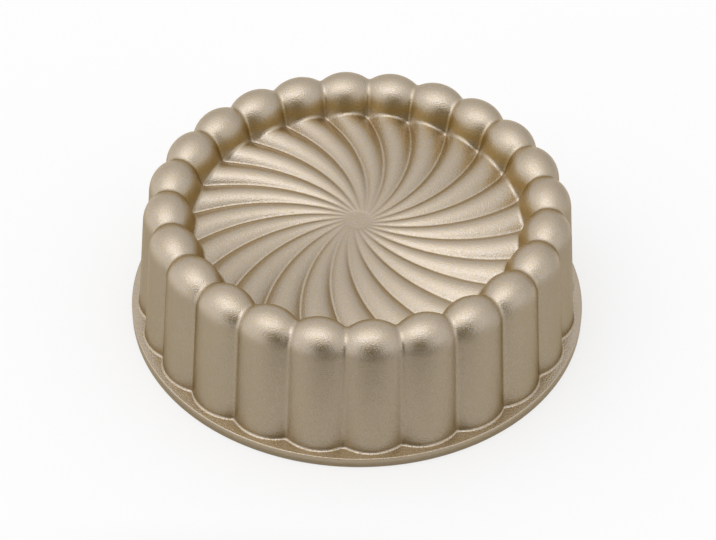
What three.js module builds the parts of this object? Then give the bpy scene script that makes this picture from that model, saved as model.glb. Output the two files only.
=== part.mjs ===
// Fluted charlotte cake pan: a one-piece cast aluminium shell with a coat on each side.
// It stands on its rim, as it is kept and shown: the baking cavity opens downwards, the swirl is on top.
// Millimetres, +Z up. The origin is the centre of the rim's flat face, and a valley lies on +X.
import * as THREE from "three";

// Driving dimensions
const FLUTES = 24; // flutes round the wall, each one running on into a petal of the swirl
const RIM_RADIUS = 116; // outside of the rim
const RIM_HEIGHT = 5.9; // thickness of the rim
const RIM_LEDGE = 3.8; // flat ledge left on the rim outside each flute
const RIM_EDGE = 0.6; // break on the lower edges of the rim, where the coats end
const PAN_HEIGHT = 73.6; // rim face to the top of the flutes
const WALL = 3; // cast wall
const WALL_DRAFT = 5.3; // degrees that the fluted wall leans in towards the top
const FLUTE_RISE = 4.2; // how far a flute stands out of the valleys beside it
const CROWN_RADIUS = 12.4; // bullnose over the top of a flute
const WELL_DEPTH = 19.3; // top of the flutes down to the outer ends of the grooves
const WELL_DRAFT = 17.5; // degrees that the wall of the well leans
const BASE_RISE = 1.35; // how much higher the disc lies than the outer ends of the grooves
const PETAL_RISE = 5; // crest of a petal above its grooves, at the wall of the well
const DISC_RADIUS = 7.2; // plain disc in the middle of the swirl
const SWIRL_RADIUS = 95; // a groove of the swirl is an arc of this radius in plan
const SWIRL_MISS = 2.1; // how far that arc passes from the axis
const OUTER_COAT = 0.05; // metallic coat on the outside
const LINING = 0.05; // non-stick coat in the cavity

// Facets
const STEPS_PER_FLUTE = 4; // an even number puts a corner on every crest and valley
const CROWN_INNER_STEPS = 2; // from the wall of the well to the top of the crown
const CROWN_OUTER_STEPS = 3; // from the top of the crown to the fluted wall
const FLOOR_STEPS = 4; // from the wall of the well to the disc

const SAMPLES = FLUTES * STEPS_PER_FLUTE;
const wallDraft = THREE.MathUtils.degToRad(WALL_DRAFT);
const wellDraft = THREE.MathUtils.degToRad(WELL_DRAFT);

// The crowns of crest, valley and cavity are arcs about one centre, so the wall is even.
// Its place follows from the drafted wall, which meets the rim RIM_LEDGE inside the rim's edge.
const crownZ = PAN_HEIGHT - CROWN_RADIUS;
const crestFoot = RIM_RADIUS - RIM_LEDGE;
const crownR =
  crestFoot - (CROWN_RADIUS + (crownZ - RIM_HEIGHT) * Math.sin(wallDraft)) / Math.cos(wallDraft);
const grooveZ = PAN_HEIGHT - WELL_DEPTH;

const lerp = THREE.MathUtils.lerp;

// Radius of the crown arc. bulge is 0 in a valley and 1 on a crest.
// depth is measured in from the outside of the casting, so a negative one is the face of its coat.
const crownRadius = (bulge, depth) => CROWN_RADIUS - (1 - bulge) * FLUTE_RISE - depth;

// Drafted lines that run off the crown arc, outwards to the rim and inwards to the swirl.
const wallRadius = (bulge, depth, z) =>
  crownR + (crownRadius(bulge, depth) - (z - crownZ) * Math.sin(wallDraft)) / Math.cos(wallDraft);
const wellRadius = (bulge, depth, z) =>
  crownR - (crownRadius(bulge, depth) - (z - crownZ) * Math.sin(wellDraft)) / Math.cos(wellDraft);

// Angle at the axis between the centre of a groove's arc and the arc itself, where it is r from the axis.
const arcOffset = SWIRL_RADIUS - SWIRL_MISS;
const arcAngle = (r) => Math.acos((r * r + arcOffset ** 2 - SWIRL_RADIUS ** 2) / (2 * r * arcOffset));

// Turn of the swirl at share t of the way from the wall of the well to the disc.
const grooveEnd = wellRadius(0, 0, grooveZ);
const swirlAt = (t) => arcAngle(grooveEnd) - arcAngle(lerp(grooveEnd, DISC_RADIUS, t));

// Stations from the disc out over the petals to the wall of the well, as radius, height and turn.
function floorStations(bulge, depth) {
  const cornerZ = grooveZ + bulge * PETAL_RISE - depth;
  const cornerR = wellRadius(bulge, depth, cornerZ);
  const stations = [];
  for (let i = FLOOR_STEPS; i >= 0; i--) {
    const t = i / FLOOR_STEPS;
    const r = lerp(cornerR, DISC_RADIUS, t);
    const z = lerp(cornerZ, grooveZ + BASE_RISE - depth, t);
    stations.push({ r, z, turn: swirlAt(t) });
  }
  return stations;
}

// Stations over the crown, from the wall of the well to the fluted wall, with one on its very top.
function crownStations(bulge, depth) {
  const top = Math.PI / 2;
  const angles = [];
  for (let i = 0; i < CROWN_INNER_STEPS; i++) {
    angles.push(lerp(Math.PI - wellDraft, top, i / CROWN_INNER_STEPS));
  }
  for (let i = 0; i <= CROWN_OUTER_STEPS; i++) {
    angles.push(lerp(top, wallDraft, i / CROWN_OUTER_STEPS));
  }
  const radius = crownRadius(bulge, depth);
  return angles.map((angle) => ({
    r: crownR + radius * Math.cos(angle),
    z: crownZ + radius * Math.sin(angle),
    turn: 0,
  }));
}

// Outside of the pan, from the disc over the crown and the ledge down to the foot of the rim's edge.
function outside(bulge, depth) {
  const ledgeZ = RIM_HEIGHT - depth;
  const rimR = RIM_RADIUS - depth;
  return [
    ...floorStations(bulge, depth),
    ...crownStations(bulge, depth),
    { r: wallRadius(bulge, depth, ledgeZ), z: ledgeZ, turn: 0 },
    { r: rimR, z: ledgeZ, turn: 0 },
    { r: rimR, z: RIM_EDGE, turn: 0 },
  ];
}

// Inside of the cavity, from the disc over the crown down to the lip.
function cavity(bulge, depth) {
  return [
    ...floorStations(bulge, depth),
    ...crownStations(bulge, depth),
    { r: wallRadius(bulge, depth, RIM_EDGE), z: RIM_EDGE, turn: 0 },
  ];
}

// Flat face of the rim, from its outer edge to the lip.
function rimFace(bulge) {
  return [
    { r: RIM_RADIUS - RIM_EDGE, z: 0, turn: 0 },
    { r: wallRadius(bulge, WALL, RIM_EDGE) + RIM_EDGE, z: 0, turn: 0 },
  ];
}

// Rings of points round the pan, one for each station, with every flute an arc in section.
function rings(stationsAt) {
  const columns = [];
  for (let i = 0; i < SAMPLES; i++) {
    const across = (2 * (i % STEPS_PER_FLUTE)) / STEPS_PER_FLUTE - 1;
    const angle = (2 * Math.PI * i) / SAMPLES;
    columns.push(
      stationsAt(1 - across * across).map(
        ({ r, z, turn }) => new THREE.Vector3(r * Math.cos(angle + turn), r * Math.sin(angle + turn), z),
      ),
    );
  }
  return columns[0].map((_, station) => columns.map((column) => column[station]));
}

// A closed body between an upper and a lower face, joined round the rim by the edge rings.
// Both faces are cut along the same diagonals, so that pieces which share a face meet without a gap.
function closedShell(upper, edge, lower) {
  const loops = [...upper, ...edge, ...lower.toReversed()];
  const points = loops.flat();
  const top = points.push(new THREE.Vector3(0, 0, upper[0][0].z)) - 1;
  const bottom = points.push(new THREE.Vector3(0, 0, lower[0][0].z)) - 1;
  const end = (loops.length - 1) * SAMPLES;
  const turned = (upper.length + edge.length) * SAMPLES;
  const index = [];
  for (let i = 0; i < SAMPLES; i++) {
    const next = (i + 1) % SAMPLES;
    index.push(top, i, next);
    for (let row = 0; row < end; row += SAMPLES) {
      const [a, b, c, d] = [row + i, row + next, row + SAMPLES + i, row + SAMPLES + next];
      if (row < turned) index.push(a, c, b, b, c, d);
      else index.push(a, c, d, a, d, b);
    }
    index.push(bottom, end + next, end + i);
  }
  const geometry = new THREE.BufferGeometry().setFromPoints(points);
  geometry.setIndex(index);
  geometry.computeVertexNormals();
  return geometry;
}

function piece(name, geometry, look) {
  const mesh = new THREE.Mesh(geometry, new THREE.MeshStandardMaterial(look));
  mesh.name = name;
  return mesh;
}

const castOutside = rings((bulge) => outside(bulge, 0));
const castCavity = rings((bulge) => cavity(bulge, WALL));
const coatFace = rings((bulge) => outside(bulge, -OUTER_COAT));
const liningFace = rings((bulge) => cavity(bulge, WALL + LINING));

const pan = new THREE.Group();
pan.name = "fluted_cake_pan";
pan.add(
  piece("pan_casting", closedShell(castOutside, rings(rimFace), castCavity), {
    color: 0xb4b1ab,
    metalness: 1,
    roughness: 0.5,
  }),
  piece("outer_coating", closedShell(coatFace, [], castOutside), {
    color: 0xb3a184,
    metalness: 0.8,
    roughness: 0.36,
  }),
  piece("nonstick_lining", closedShell(castCavity, [], liningFace), {
    color: 0xa8966f,
    metalness: 0.6,
    roughness: 0.3,
  }),
);

export default pan;
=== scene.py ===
"""Looks of a fluted cast cake pan that stands upside down on its rim.

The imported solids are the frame. Each of the three layers, the casting, the coat outside and the lining
inside, is lofted again with its fillets, finished with its own material and set on a pale studio floor.
"""

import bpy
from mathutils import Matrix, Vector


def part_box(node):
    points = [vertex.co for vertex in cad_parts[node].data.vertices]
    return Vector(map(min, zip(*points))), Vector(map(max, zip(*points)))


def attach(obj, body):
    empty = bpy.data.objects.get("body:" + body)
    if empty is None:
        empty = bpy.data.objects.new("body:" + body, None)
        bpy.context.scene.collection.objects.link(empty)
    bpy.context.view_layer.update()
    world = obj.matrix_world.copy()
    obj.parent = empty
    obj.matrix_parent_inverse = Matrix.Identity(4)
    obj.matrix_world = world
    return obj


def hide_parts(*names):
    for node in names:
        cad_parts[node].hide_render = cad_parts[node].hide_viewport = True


bl_info = {
    "name": "Fluted Cake Pan",
    "version": (1, 0, 0),
    "blender": (4, 5, 0),
    "location": "View3D > Sidebar > Cake Pan",
    "description": "Builds a fluted cake pan with its coats, its studio and its camera on a packed frame",
    "category": "Object",
}

import math

import bpy
from bpy.props import FloatProperty, FloatVectorProperty, IntProperty, PointerProperty
from mathutils import Matrix, Vector

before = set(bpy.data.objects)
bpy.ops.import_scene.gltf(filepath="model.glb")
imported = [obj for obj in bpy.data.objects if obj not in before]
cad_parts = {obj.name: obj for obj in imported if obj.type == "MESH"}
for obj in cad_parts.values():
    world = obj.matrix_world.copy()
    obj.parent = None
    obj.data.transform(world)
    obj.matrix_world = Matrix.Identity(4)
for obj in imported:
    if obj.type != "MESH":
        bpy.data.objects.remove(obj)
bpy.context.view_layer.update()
CASTING_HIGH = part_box("pan_casting")[1]

BODY = "root"
MM = 0.001


def length(name, description, default):
    """A size in metres."""
    return FloatProperty(name=name, description=description, default=default, precision=6, unit="LENGTH")


def angle(name, description, degrees):
    """An angle, written in degrees."""
    default = math.radians(degrees)
    return FloatProperty(name=name, description=description, default=default, subtype="ANGLE")


def share(name, description, default):
    """A number from 0 to 1."""
    return FloatProperty(name=name, description=description, default=default, min=0, max=1, subtype="FACTOR")


def colour(name, description, default):
    """A linear colour."""
    return FloatVectorProperty(
        name=name, description=description, default=default, min=0, max=1, subtype="COLOR"
    )


def brightness(name, description, default):
    """Strength of one side of the studio's soft light."""
    return FloatProperty(name=name, description=description, default=default, min=0)


class PanSizes(bpy.types.PropertyGroup):
    """Sizes of the casting and of the films on it."""

    flutes: IntProperty(
        name="Flutes", description="Flutes round the wall, each with its petal", default=24, min=3
    )
    rim_radius: length("Rim Radius", "Outside of the rim", CASTING_HIGH.x)
    pan_height: length("Pan Height", "Rim face to the top of the flutes", CASTING_HIGH.z)
    rim_height: length("Rim Height", "Thickness of the rim", 5.9 * MM)
    rim_ledge: length("Rim Ledge", "Flat ledge left on the rim outside each flute", 3.8 * MM)
    rim_edge: length("Rim Edge", "Break on the lower edges of the rim, where the films end", 0.6 * MM)
    wall: length("Wall", "Cast wall", 3 * MM)
    wall_draft: angle("Wall Draft", "Lean of the fluted wall", 5.3)
    flute_rise: length("Flute Rise", "How far a flute stands out of the valleys beside it", 4.2 * MM)
    crown_radius: length("Crown Radius", "Bullnose over the top of a flute", 12.4 * MM)
    well_depth: length("Well Depth", "Top of the flutes down to the outer ends of the grooves", 19.3 * MM)
    well_draft: angle("Well Draft", "Lean of the wall of the well", 17.5)
    base_rise: length("Base Rise", "Height of the disc over the outer ends of the grooves", 1.35 * MM)
    petal_rise: length("Petal Rise", "Crest of a petal above its grooves, at the wall of the well", 5 * MM)
    petal_end: length("Petal End", "Crest of a petal above the disc, where it stops", 0.32 * MM)
    petal_end_run: length("Petal End Run", "Length over which a petal drops to the disc", 2.4 * MM)
    disc_radius: length("Disc Radius", "Plain disc in the middle of the swirl", 7.2 * MM)
    swirl_radius: length("Swirl Radius", "A groove of the swirl is an arc of this radius in plan", 95 * MM)
    swirl_miss: length("Swirl Miss", "How far that arc passes from the axis", 2.1 * MM)
    outer_coat: length("Outer Coat", "Metallic coat on the outside", 0.05 * MM)
    lining: length("Lining", "Non-stick coat in the cavity", 0.05 * MM)
    flute_round: share("Flute Round", "Sine of half the arc that a flute is in section", 0.55)
    petal_round: share("Petal Round", "Sine of half the arc that a petal is in section", 0.62)
    valley_round: length("Valley Round", "Half width of the rounding in the valleys of the wall", 1.5 * MM)
    groove_round: length("Groove Round", "Half width of the rounding in the grooves of the swirl", 1 * MM)
    groove_cut: length("Groove Cut", "How far the grooves are cut down before they are rounded", 0.4 * MM)
    ridge_round: length("Ridge Round", "Half width of the rounding on the ridges of the cavity", 4 * MM)
    crown_ease: length("Crown Ease", "Length over which the bend of a crown comes and goes", 7 * MM)
    foot_fillet: length("Foot Fillet", "Fillet between the flutes and the ledge", 1.3 * MM)
    edge_fillet: length("Edge Fillet", "Round on the top edge of the rim", 0.55 * MM)
    well_fillet: length("Well Fillet", "Fillet between the petals and the wall of the well", 2.2 * MM)
    cavity_fillet: length("Cavity Fillet", "Round on the corner of the cavity over the well", 3 * MM)


class PanFinish(bpy.types.PropertyGroup):
    """Colours and gloss of the three layers."""

    coat: colour("Coat", "Tinted binder of the champagne coat", (0.50, 0.335, 0.095))
    # Painted shade: the binder painted darker on an upright wall than on a face that looks up
    coat_steep_shade: colour("Coat On Steep Faces", "The same binder on an upright wall", (0.315, 0.22, 0.082))
    # Painted shade: a darker, deeper binder painted down the inner wall of the well, below the crowns, where
    # that wall mostly sees the pan's own gold
    coat_well_shade: colour("Coat Where Deep", "The same binder where it has gathered", (0.44, 0.30, 0.10))
    coat_roughness: share("Coat Roughness", "Spread of the tinted gloss", 0.44)
    flake: colour("Flake", "Pale metal flake in the coat", (0.64, 0.635, 0.665))
    # Painted light and shade: more pale flake where the coat looks up, less on an upright wall, so steep
    # walls come out darker
    flake_share: share("Flake Share", "How much of the coat is flake where it looks up", 0.48)
    flake_share_steep_shade: share("Flake Share On Steep Faces", "How much of it is flake on an upright wall", 0.22)
    flake_roughness: share("Flake Roughness", "Spread of the flake's gloss", 0.2)
    grain: length("Grain", "Size of the fine stipple", 0.65 * MM)
    lining: colour("Lining", "Non-stick lining", (0.58, 0.47, 0.31))
    lining_deep: colour("Lining Where Thick", "The same film where it is thicker", (0.47, 0.36, 0.21))
    lining_roughness: share("Lining Roughness", "Spread of the lining's gloss", 0.36)
    metal: colour("Metal", "Bare cast metal of the rim face", (0.72, 0.71, 0.69))
    metal_dull: colour("Dull Metal", "The same metal with the skin of the casting", (0.55, 0.54, 0.52))
    metal_roughness: share("Metal Roughness", "Spread of the bare metal's gloss", 0.4)


class PanStage(bpy.types.PropertyGroup):
    """The studio round the pan."""

    floor: colour("Floor", "Pale sheet that the pan stands on", (0.97, 0.97, 0.97))
    right_light: brightness("Right Light", "Brightness of the wall on the right", 0.85)
    left_light: brightness("Left Light", "Brightness of the wall on the left", 0.98)
    back_light: brightness("Back Light", "Brightness of the wall at the back", 0.72)
    roof_light: brightness("Roof Light", "Brightness of the roof", 1.28)
    front_light: brightness("Front Light", "Brightness of the dim side by the camera", 0.14)
    key_light: FloatProperty(
        name="Key Light", description="Power of the softbox overhead", default=3.4, min=0, unit="POWER"
    )


# Fineness of the lofts
COLUMNS = 25  # across a flute
CROWDING = 1.8  # power that crowds the columns into the valleys
DISC_STEPS = 3
PETAL_END_STEPS = 4
FLOOR_STEPS = 20
WELL_FILLET_STEPS = 6
CROWN_STEPS = 30
WALL_STEPS = 3
FOOT_FILLET_STEPS = 6
EDGE_FILLET_STEPS = 5
MERGE_DISTANCE = 0.002 * MM


def smooth(t):
    """Goes from 0 to 1 with level ends."""
    return t * t * (3 - 2 * t)


def fillet(before, corner, after, radius, steps):
    """Points of the arc that rounds a corner between two straight stretches of a section."""
    inward = (before - corner).normalized()
    onward = (after - corner).normalized()
    half = inward.angle(onward) / 2
    reach = radius / math.tan(half)
    centre = corner + (inward + onward).normalized() * radius / math.sin(half)
    start = corner + inward * reach - centre
    end = corner + onward * reach - centre
    return [centre + radius * start.slerp(end, i / steps).normalized() for i in range(steps + 1)]


def between(start, end, steps):
    """Points of a straight stretch, without its two ends."""
    return [start.lerp(end, i / steps) for i in range(1, steps)]


class FluteSection:
    """Half section of the pan through a valley (bulge 0) or a crest (bulge 1).

    It lies at a depth under the outside of the casting, so a negative depth is the face of a coat.
    Its points run from the axis outwards, each a radius and a height.
    """

    def __init__(self, sizes, bulge, depth):
        self.sizes = sizes
        self.bulge = bulge
        self.depth = depth
        crown_z = sizes.pan_height - sizes.crown_radius
        lean = math.sin(sizes.wall_draft)
        foot = sizes.rim_radius - sizes.rim_ledge
        drop = crown_z - sizes.rim_height
        crown_r = foot - (sizes.crown_radius + drop * lean) / math.cos(sizes.wall_draft)
        self.crown_centre = Vector((crown_r, crown_z))
        self.crown_radius = sizes.crown_radius - (1 - bulge) * sizes.flute_rise - depth
        groove_z = sizes.pan_height - sizes.well_depth
        cut = sizes.groove_cut if depth <= 0 else 0
        corner_z = groove_z + bulge * sizes.petal_rise - (1 - bulge) * cut - depth
        self.corner = Vector((self.well_radius(corner_z), corner_z))
        self.disc_z = groove_z + sizes.base_rise - depth

    def tangent_radius(self, z, draft, side):
        """Radius of the straight wall that runs off the crown on one side of it, at a height."""
        over = (z - self.crown_centre.y) * math.sin(draft)
        return self.crown_centre.x + side * (self.crown_radius - over) / math.cos(draft)

    def wall_radius(self, z):
        """Radius of the fluted wall at a height."""
        return self.tangent_radius(z, self.sizes.wall_draft, 1)

    def well_radius(self, z):
        """Radius of the wall of the well at a height."""
        return self.tangent_radius(z, self.sizes.well_draft, -1)

    def crown_point(self, turn):
        """Point of the crown's arc, by its angle about the arc's centre."""
        return self.crown_centre + self.crown_radius * Vector((math.cos(turn), math.sin(turn)))

    def disc_and_petal(self, corner_fillet):
        """From the axis over the disc and the petal to the fillet at the wall of the well."""
        sizes = self.sizes
        rim = Vector((sizes.disc_radius - sizes.petal_end_run / 2, self.disc_z))
        points = [Vector((0, self.disc_z)).lerp(rim, i / DISC_STEPS) for i in range(DISC_STEPS)]
        rise = self.bulge * sizes.petal_end
        for i in range(PETAL_END_STEPS):
            t = i / PETAL_END_STEPS
            points.append(rim + Vector((t * sizes.petal_end_run, rise * smooth(t))))
        start = rim + Vector((sizes.petal_end_run, rise))
        crown_start = self.crown_point(math.pi - sizes.well_draft)
        rounding = fillet(start, self.corner, crown_start, corner_fillet, WELL_FILLET_STEPS)
        return points + [start] + between(start, rounding[0], FLOOR_STEPS) + rounding

    def crown(self):
        """From the wall of the well to the fluted wall: an arc whose bend comes and goes gently."""
        first = math.pi - self.sizes.well_draft
        last = self.sizes.wall_draft
        arc = (first - last) * self.crown_radius
        ease = self.sizes.crown_ease

        def along(turn):
            return Vector((math.sin(turn), -math.cos(turn)))

        def bent(s):
            """Share of its turn that a hard arc has made, summed from its start at 0 to s."""
            if s < 0:
                return 0
            return s * s / (2 * arc) if s < arc else s - arc / 2

        step = (arc + ease) / CROWN_STEPS
        points = [self.crown_point(first) - along(first) * ease / 2]
        for i in range(CROWN_STEPS):
            middle = (i + 0.5) * step
            turn = first + (last - first) * (bent(middle) - bent(middle - ease)) / ease
            points.append(points[-1] + along(turn) * step)
        miss = self.crown_point(last) + along(last) * ease / 2 - points[-1]
        return [point + miss * i / CROWN_STEPS for i, point in enumerate(points)]

    def outside(self):
        """All the way to the foot of the rim's edge."""
        sizes = self.sizes
        ledge_z = sizes.rim_height - self.depth
        rim_r = sizes.rim_radius - self.depth
        foot = Vector((self.wall_radius(ledge_z), ledge_z))
        edge = Vector((rim_r, ledge_z))
        base = Vector((rim_r, sizes.rim_edge))
        top = self.disc_and_petal(sizes.well_fillet) + self.crown()
        foot_round = fillet(top[-1], foot, edge, sizes.foot_fillet, FOOT_FILLET_STEPS)
        edge_round = fillet(foot, edge, base, sizes.edge_fillet, EDGE_FILLET_STEPS)
        return top + between(top[-1], foot_round[0], WALL_STEPS) + foot_round + edge_round + [base]

    def cavity(self):
        """All the way to the lip."""
        lip = Vector((self.wall_radius(self.sizes.rim_edge), self.sizes.rim_edge))
        top = self.disc_and_petal(self.sizes.cavity_fillet) + self.crown()
        return top + between(top[-1], lip, WALL_STEPS) + [lip]

    def rim_face(self):
        """The flat face that the pan stands on, from the lip to the outer edge."""
        sizes = self.sizes
        lip_r = self.wall_radius(sizes.rim_edge) + sizes.rim_edge
        return [Vector((lip_r, 0)), Vector((sizes.rim_radius - sizes.rim_edge, 0))]

    def swirl_share(self, radius):
        """Share of the swirl's turn at a radius: none at the wall of the well, all at the disc."""
        run = self.corner.x - self.sizes.disc_radius
        return min(max((self.corner.x - radius) / run, 0), 1)

    def stations(self, points):
        """Points of the section, each as a radius, a share of the swirl's turn and a height."""
        return [(point.x, self.swirl_share(point.x), point.y) for point in points]


def add_object(name, data):
    """A new object in the scene."""
    made = bpy.data.objects.new(name, data)
    bpy.context.scene.collection.objects.link(made)
    return made


def section_chain(name, stations):
    """An object whose points are the stations of a section, joined in a row."""
    mesh = bpy.data.meshes.new(name)
    mesh.from_pydata(stations, [(i, i + 1) for i in range(len(stations) - 1)], [])
    return add_object(name, mesh)


class Wire:
    """A node's output in a Python expression: arithmetic on it adds the Math nodes that it takes."""

    def __init__(self, graph, socket):
        self.graph = graph
        self.socket = socket

    def math(self, operation, *others):
        """A Math node whose first value is this output."""
        return self.graph.math(operation, self, *others)

    def __add__(self, other):
        return self.graph.math("ADD", self, other)

    def __radd__(self, other):
        return self.graph.math("ADD", other, self)

    def __sub__(self, other):
        return self.graph.math("SUBTRACT", self, other)

    def __rsub__(self, other):
        return self.graph.math("SUBTRACT", other, self)

    def __mul__(self, other):
        return self.graph.math("MULTIPLY", self, other)

    def __rmul__(self, other):
        return self.graph.math("MULTIPLY", other, self)

    def __truediv__(self, other):
        return self.graph.math("DIVIDE", self, other)

    def __rtruediv__(self, other):
        return self.graph.math("DIVIDE", other, self)

    def __pow__(self, other):
        return self.graph.math("POWER", self, other)

    def __abs__(self):
        return self.graph.math("ABSOLUTE", self)


class Outlets:
    """The outputs of a new node, by name or by number."""

    def __init__(self, graph, node):
        self.graph = graph
        self.node = node

    def __getitem__(self, key):
        return Wire(self.graph, self.node.outputs[key])


NOISE_MEAN = 0.5  # of a noise texture
MIX_LOW = 6  # colour inputs of a Mix node
MIX_HIGH = 7
MIX_RESULT = 2  # its colour output


class Graph:
    """A node tree that is being filled."""

    def __init__(self, tree):
        self.tree = tree

    def add(self, kind, settings, inputs):
        """A new node of a kind, with its settings and then with values or wires on its sockets."""
        node = self.tree.nodes.new(kind)
        for name, value in settings.items():
            setattr(node, name, value)
        for key, value in inputs.items():
            if isinstance(value, Wire):
                self.tree.links.new(value.socket, node.inputs[key])
            else:
                node.inputs[key].default_value = value
        return Outlets(self, node)

    def math(self, operation, *terms):
        """A Math node on numbers and wires."""
        return self.add("ShaderNodeMath", {"operation": operation}, dict(enumerate(terms)))["Value"]

    def split(self, vector):
        """The X, Y and Z of a vector."""
        return self.add("ShaderNodeSeparateXYZ", {}, {0: vector})

    def join(self, x, y, z):
        """A vector from its parts."""
        return self.add("ShaderNodeCombineXYZ", {}, {"X": x, "Y": y, "Z": z})["Vector"]

    def position(self):
        """Place of a point of the geometry."""
        return self.add("GeometryNodeInputPosition", {}, {})["Position"]

    def coordinate(self, kind):
        """Place on a surface, or a way into the world."""
        return self.add("ShaderNodeTexCoord", {}, {})[kind]

    def attribute(self, name):
        """A value that is stored on the mesh."""
        return self.add("ShaderNodeAttribute", {"attribute_name": name}, {})["Fac"]

    def ease(self, value, low, high):
        """0 up to low, 1 from high and a soft slope between them."""
        inputs = {0: value, 1: low, 2: high, 3: 0, 4: 1}
        return self.add("ShaderNodeMapRange", {"interpolation_type": "SMOOTHSTEP"}, inputs)[0]

    def noise(self, place, size, detail):
        """Noise about 0 whose features are about this long."""
        inputs = {"Vector": place, "Scale": 1 / size, "Detail": detail}
        return self.add("ShaderNodeTexNoise", {}, inputs)["Fac"] - NOISE_MEAN

    def tint(self, factor, low, high):
        """A colour between two others, each a constant or a wire."""
        ends = [end if isinstance(end, Wire) else (*end, 1) for end in (low, high)]
        inputs = {"Factor": factor, MIX_LOW: ends[0], MIX_HIGH: ends[1]}
        return self.add("ShaderNodeMix", {"data_type": "RGBA"}, inputs)[MIX_RESULT]

    def bump(self, height, distance, strength):
        """A normal that follows a height."""
        inputs = {"Strength": strength, "Distance": distance, "Height": height}
        return self.add("ShaderNodeBump", {}, inputs)["Normal"]

    def principled(self, inputs):
        """A Principled shader."""
        return self.add("ShaderNodeBsdfPrincipled", {}, inputs)["BSDF"]


def blend(factor, low, high):
    """Low where the factor is 0 and high where it is 1."""
    return low + factor * (high - low)


def from_axis(spot):
    """Distance of a place from the pan's axis."""
    return (spot["X"] * spot["X"] + spot["Y"] * spot["Y"]) ** 0.5


# Where the forms change, and where the painted shade on the coat comes in
WELL_RUN = 6 * MM  # inside the ends of the grooves, over which a petal takes on the section of a flute
CROWN_RUN = 5 * MM  # inside the crowns' centres, over which the painted shade of the well comes in
WELL_SHADE_START = (-2.7 * MM, 0.8 * MM)  # over the crowns' centres, where the band of painted shade comes in
WELL_SHADE_END = (0.8 * MM, 9 * MM)  # and where it goes
UPWARD_EDGE = (0.1, 0.6)  # rising part of the normal, between an upright wall, which is painted darker as painted shade, and a face that looks up, which is painted lighter as painted light

# Attributes of the lofts, the masks of the painted light and shade on the coat
WELL_SHADE = "gathered"
UPWARD_LIT = "upward"


def loft_inputs(tree):
    """Names the inputs of the loft, and gives the identifiers that a modifier knows them by."""
    kinds = {
        "NodeSocketObject": ("Valley Section", "Crest Section"),
        "NodeSocketInt": ("Stations", "Cavity Stations", "Columns", "Flutes"),
        "NodeSocketFloat": (
            "Crowding",
            "Flute Round",
            "Petal Round",
            "Valley Round",
            "Groove Round",
            "Ridge Round",
            "Groove End",
            "Disc Radius",
            "Swirl Radius",
            "Swirl Miss",
            "Crown Reach",
            "Crown Height",
            "Merge Distance",
        ),
        "NodeSocketMaterial": ("Material",),
    }
    keys = {}
    for kind, names in kinds.items():
        for name in names:
            keys[name] = tree.interface.new_socket(name, in_out="INPUT", socket_type=kind).identifier
    return keys


def section_at(graph, chain, station):
    """Radius, share of the swirl's turn and height of a section at a station."""
    points = graph.add("GeometryNodeObjectInfo", {}, {"Object": chain})["Geometry"]
    settings = {"data_type": "FLOAT_VECTOR", "domain": "POINT"}
    inputs = {"Geometry": points, "Value": graph.position(), "Index": station}
    split = graph.split(graph.add("GeometryNodeSampleIndex", settings, inputs)["Value"])
    return split["X"], split["Y"], split["Z"]


def arc_angle(reach, arc, miss):
    """Angle at the axis between a groove's arc, where it is this far out, and the centre of the arc."""
    centre = arc - miss
    cosine = (reach * reach + centre * centre - arc * arc) / (2 * reach * centre)
    return cosine.math("ARCCOSINE")


def one_flute(graph, given):
    """A flute with its petal, from a flat grid with a row for each station and columns across the flute."""
    stations = given["Stations"]
    grid = graph.add("GeometryNodeMeshGrid", {}, {"Vertices X": given["Columns"], "Vertices Y": stations})
    flat = graph.split(graph.position())
    across = flat["X"] + 0.5
    station = ((flat["Y"] + 0.5) * (stations - 1)).math("ROUND")
    valley = section_at(graph, given["Valley Section"], station)
    crest = section_at(graph, given["Crest Section"], station)

    # From 0 in the valley on either side to 1 on the crest, with the columns crowded into the valleys
    from_valley = (1 - abs(2 * across - 1)) ** given["Crowding"]
    side = (across - 0.5).math("SIGN")
    flute_angle = 2 * math.pi / given["Flutes"]
    around = (0.5 + 0.5 * side * (1 - from_valley)) * flute_angle

    # The flute is an arc in section, rounded over a fixed width where it meets its neighbours
    groove_end = given["Groove End"]
    on_wall = graph.ease(valley[0], groove_end - WELL_RUN, groove_end)
    in_cavity = station.math("LESS_THAN", given["Cavity Stations"])
    rounding = blend(on_wall, given["Groove Round"], given["Valley Round"])
    rounding = blend(in_cavity, rounding, given["Ridge Round"])
    half_width = valley[0].math("MAXIMUM", given["Disc Radius"]) * flute_angle / 2
    soft = (rounding / half_width).math("MINIMUM", 1)
    softened = from_valley + (soft - from_valley.math("MINIMUM", soft)) ** 2 / (2 * soft)
    half_arc = blend(on_wall, given["Petal Round"], given["Flute Round"])
    edge = (1 - half_arc * half_arc) ** 0.5
    from_crest = half_arc * (1 - softened)
    bulge = ((1 - from_crest * from_crest) ** 0.5 - edge) / (1 - edge)
    radius, part, height = [blend(bulge, low, high) for low, high in zip(valley, crest)]

    # The petals turn as they run in to the disc, along arcs that pass close by the axis
    arc = (given["Swirl Radius"], given["Swirl Miss"])
    reach = blend(part, groove_end, given["Disc Radius"])
    theta = around + arc_angle(groove_end, *arc) - arc_angle(reach, *arc)
    place = graph.join(radius * theta.math("COSINE"), radius * theta.math("SINE"), height)
    inputs = {"Geometry": grid["Mesh"], "Position": place}
    return graph.add("GeometryNodeSetPosition", {}, inputs)["Geometry"]


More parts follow.
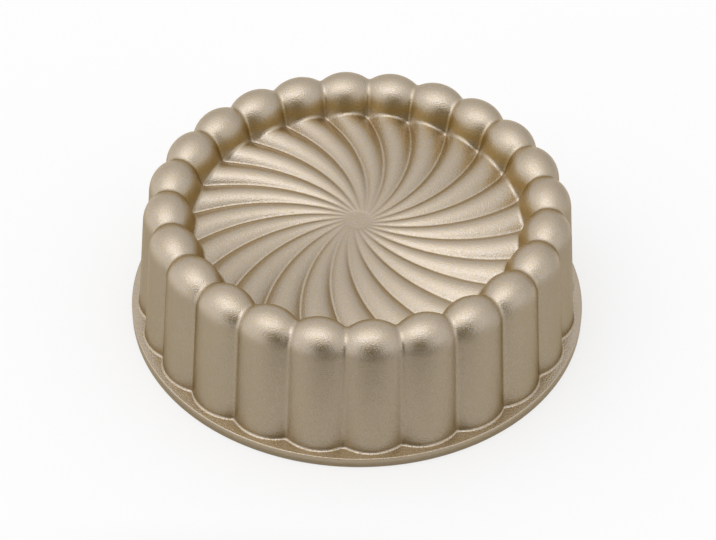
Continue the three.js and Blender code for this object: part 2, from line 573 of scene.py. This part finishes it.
def copies_round(graph, given, flute):
    """Copies of a flute round the axis, made one closed mesh."""
    flutes = given["Flutes"]
    centres = graph.add("GeometryNodeMeshLine", {}, {"Count": flutes, "Offset": (0, 0, 0)})["Mesh"]
    spin = graph.add("GeometryNodeInputIndex", {}, {})["Index"] * (2 * math.pi / flutes)
    inputs = {"Points": centres, "Instance": flute, "Rotation": graph.join(0, 0, spin)}
    copies = graph.add("GeometryNodeInstanceOnPoints", {}, inputs)["Instances"]
    whole = graph.add("GeometryNodeRealizeInstances", {}, {"Geometry": copies})["Geometry"]
    inputs = {"Geometry": whole, "Distance": given["Merge Distance"]}
    return graph.add("GeometryNodeMergeByDistance", {}, inputs)["Geometry"]


def painted_shade_marks(graph, given, pan):
    """Stores the masks for painted shade on the coat: a band down the inner wall of the well, below the
    crowns, and how far a face looks up.
    """
    spot = graph.split(graph.position())
    crown_reach = given["Crown Reach"]
    inner = 1 - graph.ease(from_axis(spot), crown_reach - CROWN_RUN, crown_reach)
    over_crown = spot["Z"] - given["Crown Height"]
    band = graph.ease(over_crown, *WELL_SHADE_START) * (1 - graph.ease(over_crown, *WELL_SHADE_END))
    facing = graph.split(graph.add("GeometryNodeInputNormal", {}, {})["Normal"])
    marks = {WELL_SHADE: inner * band, UPWARD_LIT: graph.ease(facing["Z"], *UPWARD_EDGE)}
    for name, value in marks.items():
        settings = {"data_type": "FLOAT", "domain": "POINT"}
        inputs = {"Geometry": pan, "Name": name, "Value": value}
        pan = graph.add("GeometryNodeStoreNamedAttribute", settings, inputs)["Geometry"]
    return pan


def flute_loft_tree():
    """The loft that turns two sections into the whole pan, and the identifiers of its inputs."""
    tree = bpy.data.node_groups.new("Flute Loft", "GeometryNodeTree")
    keys = loft_inputs(tree)
    tree.interface.new_socket("Pan", in_out="OUTPUT", socket_type="NodeSocketGeometry")
    graph = Graph(tree)
    given = graph.add("NodeGroupInput", {}, {})
    pan = copies_round(graph, given, one_flute(graph, given))
    marked = painted_shade_marks(graph, given, pan)
    shaded = graph.add("GeometryNodeSetShadeSmooth", {}, {"Geometry": marked})["Geometry"]
    inputs = {"Geometry": shaded, "Material": given["Material"]}
    made = graph.add("GeometryNodeSetMaterial", {}, inputs)["Geometry"]
    graph.add("NodeGroupOutput", {}, {0: made})
    return tree, keys


def loft(name, valley, crest, cavity_stations, material):
    """A closed layer of the pan, lofted from its valley section and its crest section."""
    if len(valley) != len(crest):
        raise RuntimeError(f"{name}: the two sections have {len(valley)} and {len(crest)} stations")
    sizes = bpy.context.scene.pan_sizes
    groove = FluteSection(sizes, 0, 0)
    valley_chain = section_chain(name + "_valley", valley)
    crest_chain = section_chain(name + "_crest", crest)
    tree, keys = flute_loft_tree()
    maker = add_object(name + "_maker", bpy.data.meshes.new(name + "_maker"))
    modifier = maker.modifiers.new("Flute Loft", "NODES")
    modifier.node_group = tree
    for key, value in {
        "Valley Section": valley_chain,
        "Crest Section": crest_chain,
        "Stations": len(valley),
        "Cavity Stations": cavity_stations,
        "Columns": COLUMNS,
        "Crowding": CROWDING,
        "Flutes": sizes.flutes,
        "Flute Round": sizes.flute_round,
        "Petal Round": sizes.petal_round,
        "Valley Round": sizes.valley_round,
        "Groove Round": sizes.groove_round,
        "Ridge Round": sizes.ridge_round,
        "Groove End": groove.corner.x,
        "Disc Radius": sizes.disc_radius,
        "Swirl Radius": sizes.swirl_radius,
        "Swirl Miss": sizes.swirl_miss,
        "Crown Reach": groove.crown_centre.x,
        "Crown Height": groove.crown_centre.y,
        "Merge Distance": MERGE_DISTANCE,
        "Material": material,
    }.items():
        modifier[keys[key]] = value
    depsgraph = bpy.context.evaluated_depsgraph_get()
    mesh = bpy.data.meshes.new_from_object(maker.evaluated_get(depsgraph), depsgraph=depsgraph)
    mesh.name = name
    maker.modifiers.clear()
    for helper in (maker, valley_chain, crest_chain):
        bpy.data.objects.remove(helper)
    if not mesh.polygons:
        raise RuntimeError(f"{name}: the loft came out empty")
    return add_object(name, mesh)


def settle(piece, node):
    """Puts a finished layer in the place of its solid."""
    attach(piece, BODY)
    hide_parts(node)


# Slow change of a finish over the pan, and the tint of its gloss seen edge on
CLOUD_SIZE = 24 * MM
CLOUD_DETAIL = 3
EDGE_TINT = (0.80, 0.75, 0.67, 1)

# Champagne coat
STIPPLE_DETAIL = 2
STIPPLE_HEIGHT = 0.19 * MM
STIPPLE_STRENGTH = 1.0
COAT_CLOUD = 0.4  # how far the cloud shifts the binder's tint
FLAKE_CLOUD = 0.12  # and the spread of the flake's gloss
FLAKE_SCATTER = 1.7  # how unevenly the flake lies
WELL_SHADE_COVER = 0.7  # share of the flake taken out where the shade of the well is painted in

# Non-stick lining
PEEL_SIZE = 1.6 * MM
PEEL_HEIGHT = 0.05 * MM
PEEL_STRENGTH = 0.7
FILM_DETAIL = 1
FILM_METALLIC = 0.8
FILM_CLOUD = 0.5  # how far the cloud shifts the film's tint
FILM_SPECK = 1.2  # and how far its specks do
FILM_GLOSS_CLOUD = 0.2  # how far the cloud changes the spread of its gloss

# Bare casting
TURNING_PITCH = 0.45 * MM
TURNING_HEIGHT = 0.02 * MM
TURNING_STRENGTH = 0.6
TURNING_RISE = 0.3  # rings of the turning tool, as a share of that height
TURNING_GLOSS = 0.06  # how far the rings change the spread of the gloss
GRAIN_SIZE = 0.7 * MM
GRAIN_DETAIL = 3
GRAIN_RISE = 0.4  # cast grain, as a share of the same height
GRAIN_GLOSS = 0.3
METAL_CLOUD = 0.5  # how far the cloud shifts the metal's tint
METAL_GRAIN = 0.9  # and how far its grain does


def new_material(name):
    """A material with an empty tree."""
    material = bpy.data.materials.new(name)
    material.use_nodes = True
    material.node_tree.nodes.clear()
    return material, Graph(material.node_tree)


def champagne_coat(look):
    """Pale metal flake in a tinted binder, stippled, with painted light and shade: paler where it looks up,
    darker on upright walls, and darker and deeper in colour down the inner wall of the well, below the
    crowns.
    """
    material, graph = new_material("champagne_coat")
    place = graph.coordinate("Object")
    stipple = graph.noise(place, look.grain, STIPPLE_DETAIL)
    cloud = graph.noise(place, CLOUD_SIZE, CLOUD_DETAIL)
    gathered = graph.attribute(WELL_SHADE)
    upward = graph.attribute(UPWARD_LIT)
    # Painted light and shade: the binder lighter where the coat looks up and darker on upright walls; the
    # cloud's shift is the coat's own uneven tone
    lit_and_shaded_coat = graph.tint(upward + COAT_CLOUD * cloud, look.coat_steep_shade, look.coat)
    metal = {
        "Metallic": 1.0,
        "Specular Tint": EDGE_TINT,
        "Normal": graph.bump(stipple, STIPPLE_HEIGHT, STIPPLE_STRENGTH),
    }
    # Painted shade: the binder deeper and darker in the band down the inner wall of the well
    binder = graph.principled(
        {
            "Base Color": graph.tint(gathered, lit_and_shaded_coat, look.coat_well_shade),
            "Roughness": look.coat_roughness,
            **metal,
        }
    )
    flake = graph.principled(
        {
            "Base Color": (*look.flake, 1),
            "Roughness": look.flake_roughness + FLAKE_CLOUD * cloud,
            **metal,
        }
    )
    # Painted light and shade: more pale flake where the coat looks up, less on upright walls and less again
    # in the painted shade down the well; the scatter is the flake's own uneven lie
    lit_and_shaded_flake = blend(upward, look.flake_share_steep_shade, look.flake_share)
    shown = lit_and_shaded_flake * (1 + FLAKE_SCATTER * stipple) * (1 - WELL_SHADE_COVER * gathered)
    shader = graph.add("ShaderNodeMixShader", {}, {0: shown, 1: binder, 2: flake})["Shader"]
    graph.add("ShaderNodeOutputMaterial", {}, {"Surface": shader})
    return material


def nonstick_coat(look):
    """A smooth satin film with a faint orange peel and fine specks."""
    material, graph = new_material("nonstick_coat")
    place = graph.coordinate("Object")
    peel = graph.noise(place, PEEL_SIZE, FILM_DETAIL)
    speck = graph.noise(place, look.grain, FILM_DETAIL)
    cloud = graph.noise(place, CLOUD_SIZE, CLOUD_DETAIL)
    thin = 0.5 + FILM_CLOUD * cloud + FILM_SPECK * speck
    shader = graph.principled(
        {
            "Base Color": graph.tint(thin, look.lining_deep, look.lining),
            "Metallic": FILM_METALLIC,
            "Roughness": look.lining_roughness + FILM_GLOSS_CLOUD * cloud,
            "Specular Tint": EDGE_TINT,
            "Normal": graph.bump(peel, PEEL_HEIGHT, PEEL_STRENGTH),
        }
    )
    graph.add("ShaderNodeOutputMaterial", {}, {"Surface": shader})
    return material


def bare_casting(look):
    """Cast aluminium with a fine grain, turned flat on the rim face."""
    material, graph = new_material("bare_casting")
    place = graph.coordinate("Object")
    radius = from_axis(graph.split(place))
    ring = (radius * (2 * math.pi / TURNING_PITCH)).math("SINE")
    grain = graph.noise(place, GRAIN_SIZE, GRAIN_DETAIL)
    cloud = graph.noise(place, CLOUD_SIZE, CLOUD_DETAIL)
    bright = 0.5 + METAL_CLOUD * cloud + METAL_GRAIN * grain
    height = TURNING_RISE * ring + GRAIN_RISE * grain
    shader = graph.principled(
        {
            "Base Color": graph.tint(bright, look.metal_dull, look.metal),
            "Metallic": 1.0,
            "Roughness": look.metal_roughness + TURNING_GLOSS * ring + GRAIN_GLOSS * grain,
            "Normal": graph.bump(height, TURNING_HEIGHT, TURNING_STRENGTH),
        }
    )
    graph.add("ShaderNodeOutputMaterial", {}, {"Surface": shader})
    return material


class PanOperator:
    """What the operators of the layers share: each layer has a section at a valley and one at a crest."""

    bl_options = {"REGISTER", "UNDO"}

    def sections(self, make):
        sizes = bpy.context.scene.pan_sizes
        return [make(sizes, bulge) for bulge in (0, 1)]


class PAN_OT_casting(PanOperator, bpy.types.Operator):
    """Loft the cast shell: up inside the cavity, across the rim face and back over the outside"""

    bl_idname = "pan.casting"
    bl_label = "Pan Casting"

    def execute(self, context):
        def make(sizes, bulge):
            inner = FluteSection(sizes, bulge, sizes.wall)
            outer = FluteSection(sizes, bulge, 0)
            over = inner.rim_face() + outer.outside()[::-1]
            return inner.stations(inner.cavity()) + outer.stations(over)

        valley, crest = self.sections(make)
        sizes = context.scene.pan_sizes
        inside = len(FluteSection(sizes, 0, sizes.wall).cavity()) + 1  # with the lip's edge on the rim face
        piece = loft("cast_shell", valley, crest, inside, bare_casting(context.scene.pan_finish))
        settle(piece, "pan_casting")
        return {"FINISHED"}


class PAN_OT_outer_coating(PanOperator, bpy.types.Operator):
    """Loft the champagne coat over the outside of the casting"""

    bl_idname = "pan.outer_coating"
    bl_label = "Outer Coating"

    def execute(self, context):
        def make(sizes, bulge):
            back = FluteSection(sizes, bulge, 0)
            face = FluteSection(sizes, bulge, -sizes.outer_coat)
            return back.stations(back.outside()) + face.stations(face.outside()[::-1])

        valley, crest = self.sections(make)
        piece = loft("champagne_enamel", valley, crest, 0, champagne_coat(context.scene.pan_finish))
        settle(piece, "outer_coating")
        return {"FINISHED"}


class PAN_OT_lining(PanOperator, bpy.types.Operator):
    """Loft the non-stick lining of the cavity"""

    bl_idname = "pan.lining"
    bl_label = "Non-stick Lining"

    def execute(self, context):
        def make(sizes, bulge):
            face = FluteSection(sizes, bulge, sizes.wall + sizes.lining)
            back = FluteSection(sizes, bulge, sizes.wall)
            return face.stations(face.cavity()) + back.stations(back.cavity()[::-1])

        valley, crest = self.sections(make)
        film = nonstick_coat(context.scene.pan_finish)
        piece = loft("cavity_lining", valley, crest, len(valley), film)
        settle(piece, "nonstick_lining")
        return {"FINISHED"}


# The photograph's camera, in pixels of its frame, metres and degrees
IMAGE_WIDTH = 716
FOCAL_PIXELS = 2098.75
CENTRE_OFF_PIXELS = (-14.57, -4.71)
CAMERA_DISTANCE = 1.08937
CAMERA_ELEVATION = 43.550
CAMERA_AZIMUTH = 2.90
CAMERA_PITCH = 42.585
CAMERA_YAW = -0.5145
CAMERA_ROLL = 0.4355
SENSOR_WIDTH = 36


def camera_axes():
    """Right, up and forward of the camera before the turn about the pan's axis."""
    pitch = math.radians(CAMERA_PITCH)
    yaw = math.radians(CAMERA_YAW)
    roll = math.radians(CAMERA_ROLL)
    ahead = Vector((math.sin(yaw), math.cos(yaw), 0))
    forward = ahead * math.cos(pitch) - Vector((0, 0, math.sin(pitch)))
    level = Vector((math.cos(yaw), -math.sin(yaw), 0))
    upright = level.cross(forward)
    right = math.cos(roll) * level + math.sin(roll) * upright
    up = math.cos(roll) * upright - math.sin(roll) * level
    return right, up, forward


def add_camera():
    """The photograph's view of the pan."""
    data = bpy.data.cameras.new("photo_camera")
    data.sensor_fit = "HORIZONTAL"
    data.sensor_width = SENSOR_WIDTH
    data.lens = FOCAL_PIXELS / IMAGE_WIDTH * SENSOR_WIDTH
    data.shift_x = -CENTRE_OFF_PIXELS[0] / IMAGE_WIDTH
    data.shift_y = CENTRE_OFF_PIXELS[1] / IMAGE_WIDTH
    camera = add_object("photo_camera", data)
    right, up, forward = camera_axes()
    elevation = math.radians(CAMERA_ELEVATION)
    place = CAMERA_DISTANCE * Vector((0, -math.cos(elevation), math.sin(elevation)))
    aim = Matrix((right, up, -forward)).transposed().to_4x4()
    turn = Matrix.Rotation(math.radians(CAMERA_AZIMUTH), 4, "Z")
    camera.matrix_world = turn @ Matrix.Translation(place) @ aim
    bpy.context.scene.camera = camera


BLACK = (0, 0, 0)
WHITE = (1, 1, 1)

# The floor, in metres: a pair is where a change starts and where it is full
FLOOR_HALF = 3.0
SHOWN_WHITE = 0.62  # share of plain white in what the camera and the metal see of it
FRONT_DIM = 0.72  # how much painted shade darkens it in front of the pan
FRONT_DIM_MIDDLE = 0.08
FRONT_DIM_AHEAD = (0.15, 0.26)
FRONT_DIM_ASIDE = (0.06, 0.27)
RIGHT_DIM = 0.3  # how much painted shade darkens it on the right
RIGHT_DIM_ASIDE = (0.20, 0.30)

# The room, by the parts of a direction: walls and a roof of soft light, and a dim side by the camera
SIDE_EDGE = (-0.5, 0.5)  # from the left wall to the right one
BACK_EDGE = (0.1, 0.9)
ROOF_LEAN = (-0.17, -0.12, 0.92)
ROOF_EDGE = (0.68, 0.95)
DIM_MIDDLE = 0.08
DIM_NARROWING = 0.6
DIM_EDGE = (0.35, 0.8)
DIM_TOP = (0.5, 1.0)
CORNER_DIM = 0.2  # how much darker the corner between the right wall and the back one is
CORNER_WAY = (0.83, 0.55, 0)
CORNER_EDGE = (0.6, 1.0)

# The softbox, in metres
KEY_PLACE = (-0.38, -0.46, 1.9)
KEY_WIDTH = 2.0
KEY_DEPTH = 0.8


def floor_material(look):
    """A pale sheet that the camera and the metal see as white, with the pan's shadow on it, and with painted
    shade in front of the pan and on the right.
    """
    material, graph = new_material("floor")
    spot = graph.split(graph.coordinate("Object"))
    # Painted shade on the sheet, in front of the pan and on the right, in both its colour and its white
    ahead = graph.ease(-1 * spot["Y"], *FRONT_DIM_AHEAD)
    ahead = ahead * (1 - graph.ease(abs(spot["X"] - FRONT_DIM_MIDDLE), *FRONT_DIM_ASIDE))
    aside = graph.ease(spot["X"], *RIGHT_DIM_ASIDE)
    painted_shade_fade = (1 - FRONT_DIM * ahead) * (1 - RIGHT_DIM * aside)
    light = graph.add("ShaderNodeLightPath", {}, {})
    seen = light["Is Camera Ray"] + light["Is Glossy Ray"] + light["Is Transmission Ray"]
    shown = SHOWN_WHITE * seen.math("MINIMUM", 1)
    sheet = graph.add("ShaderNodeBsdfDiffuse", {}, {"Color": graph.tint(painted_shade_fade, BLACK, look.floor)})["BSDF"]
    white = graph.add("ShaderNodeEmission", {}, {"Color": graph.tint(painted_shade_fade, BLACK, WHITE)})["Emission"]
    mixed = graph.add("ShaderNodeMixShader", {}, {0: shown, 1: sheet, 2: white})["Shader"]
    graph.add("ShaderNodeOutputMaterial", {}, {"Surface": mixed})
    return material


def add_floor(look):
    """The sheet that the pan stands on."""
    mesh = bpy.data.meshes.new("floor")
    side = FLOOR_HALF
    corners = [(-side, -side, 0), (side, -side, 0), (side, side, 0), (-side, side, 0)]
    mesh.from_pydata(corners, [], [(0, 1, 2, 3)])
    mesh.materials.append(floor_material(look))
    floor = add_object("floor", mesh)


def add_world(look):
    """Walls and a roof of soft light, brighter on the left and dim by the camera."""
    world = bpy.data.worlds.new("studio")
    world.use_nodes = True
    world.node_tree.nodes.clear()
    graph = Graph(world.node_tree)
    way = graph.split(graph.coordinate("Generated"))

    def towards(direction):
        x, y, z = Vector(direction).normalized()
        return way["X"] * x + way["Y"] * y + way["Z"] * z

    corner = graph.ease(towards(CORNER_WAY), *CORNER_EDGE)
    roof = graph.ease(towards(ROOF_LEAN), *ROOF_EDGE)
    dim = graph.ease(-1 * way["Y"] - DIM_NARROWING * abs(way["X"] - DIM_MIDDLE), *DIM_EDGE)
    dim = dim * (1 - graph.ease(way["Z"], *DIM_TOP))
    wall = blend(graph.ease(way["X"], *SIDE_EDGE), look.left_light, look.right_light)
    wall = blend(graph.ease(way["Y"], *BACK_EDGE), wall, look.back_light) * (1 - CORNER_DIM * corner)
    strength = blend(dim, blend(roof, wall, look.roof_light), look.front_light)
    shade = graph.add("ShaderNodeBackground", {}, {"Color": (*WHITE, 1), "Strength": strength})
    graph.add("ShaderNodeOutputWorld", {}, {"Surface": shade["Background"]})
    bpy.context.scene.world = world


def add_key(look):
    """The softbox, which looks at the pan."""
    data = bpy.data.lights.new("softbox", "AREA")
    data.shape = "RECTANGLE"
    data.size = KEY_WIDTH
    data.size_y = KEY_DEPTH
    data.energy = look.key_light
    lamp = add_object("softbox", data)
    lamp.location = KEY_PLACE
    x, y, z = KEY_PLACE
    lamp.rotation_euler = (math.atan2(-y, z), math.atan2(x, z), 0)


class PAN_OT_stage(bpy.types.Operator):
    """Set up the floor, the studio's light and the camera"""

    bl_idname = "pan.stage"
    bl_label = "Studio"

    def execute(self, context):
        look = context.scene.pan_stage
        add_camera()
        add_floor(look)
        add_world(look)
        add_key(look)
        context.scene.view_settings.view_transform = "Standard"
        return {"FINISHED"}


class PAN_PT_panel(bpy.types.Panel):
    """The steps that build the pan"""

    bl_idname = "PAN_PT_panel"
    bl_label = "Cake Pan"
    bl_space_type = "VIEW_3D"
    bl_region_type = "UI"
    bl_category = "Cake Pan"

    def draw(self, context):
        for step in STEPS:
            self.layout.operator(step.bl_idname)


STEPS = (PAN_OT_casting, PAN_OT_outer_coating, PAN_OT_lining, PAN_OT_stage)
GROUPS = {"pan_sizes": PanSizes, "pan_finish": PanFinish, "pan_stage": PanStage}
CLASSES = (*GROUPS.values(), *STEPS, PAN_PT_panel)


def register():
    for cls in CLASSES:
        bpy.utils.register_class(cls)
    for name, group in GROUPS.items():
        setattr(bpy.types.Scene, name, PointerProperty(type=group))


def unregister():
    for name in GROUPS:
        delattr(bpy.types.Scene, name)
    for cls in reversed(CLASSES):
        bpy.utils.unregister_class(cls)


def main():
    register()
    bpy.ops.pan.casting()
    bpy.ops.pan.outer_coating()
    bpy.ops.pan.lining()
    bpy.ops.pan.stage()


if __name__ == "__main__":
    main()
